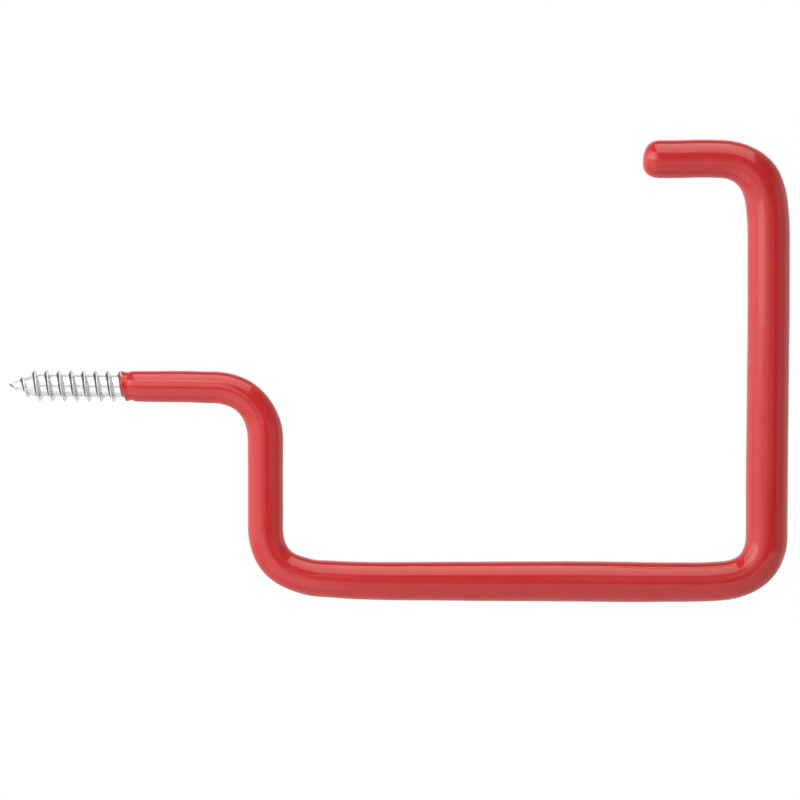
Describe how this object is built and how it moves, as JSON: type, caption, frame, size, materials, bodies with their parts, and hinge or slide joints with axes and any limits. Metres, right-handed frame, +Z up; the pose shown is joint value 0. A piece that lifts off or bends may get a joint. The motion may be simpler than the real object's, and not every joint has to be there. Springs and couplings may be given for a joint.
{
  "type": "garage utility hook",
  "caption": "Screw-in utility hook: steel wire bent into a wide square cradle with an inward tip, dipped in red vinyl, with a wood-screw thread on its wall end.",
  "frame": {"origin": "on the screw's axis, in the plane of the wall's face, where the vinyl begins", "axes": "+X out from the wall along the screw's axis, so the thread points along -X; +Z up as the hook is used; the hook lies in the XZ plane and is seen from -Y in the picture"},
  "size_m": [0.1799, 0.0098, 0.1071],
  "materials": {
    "zinc_steel": "bright zinc plate",
    "red_vinyl": "glossy dipped vinyl"
  },
  "bodies": {
    "root": {"steel_hook": "zinc_steel", "vinyl_coat": "red_vinyl"}
  },
  "joints": []
}
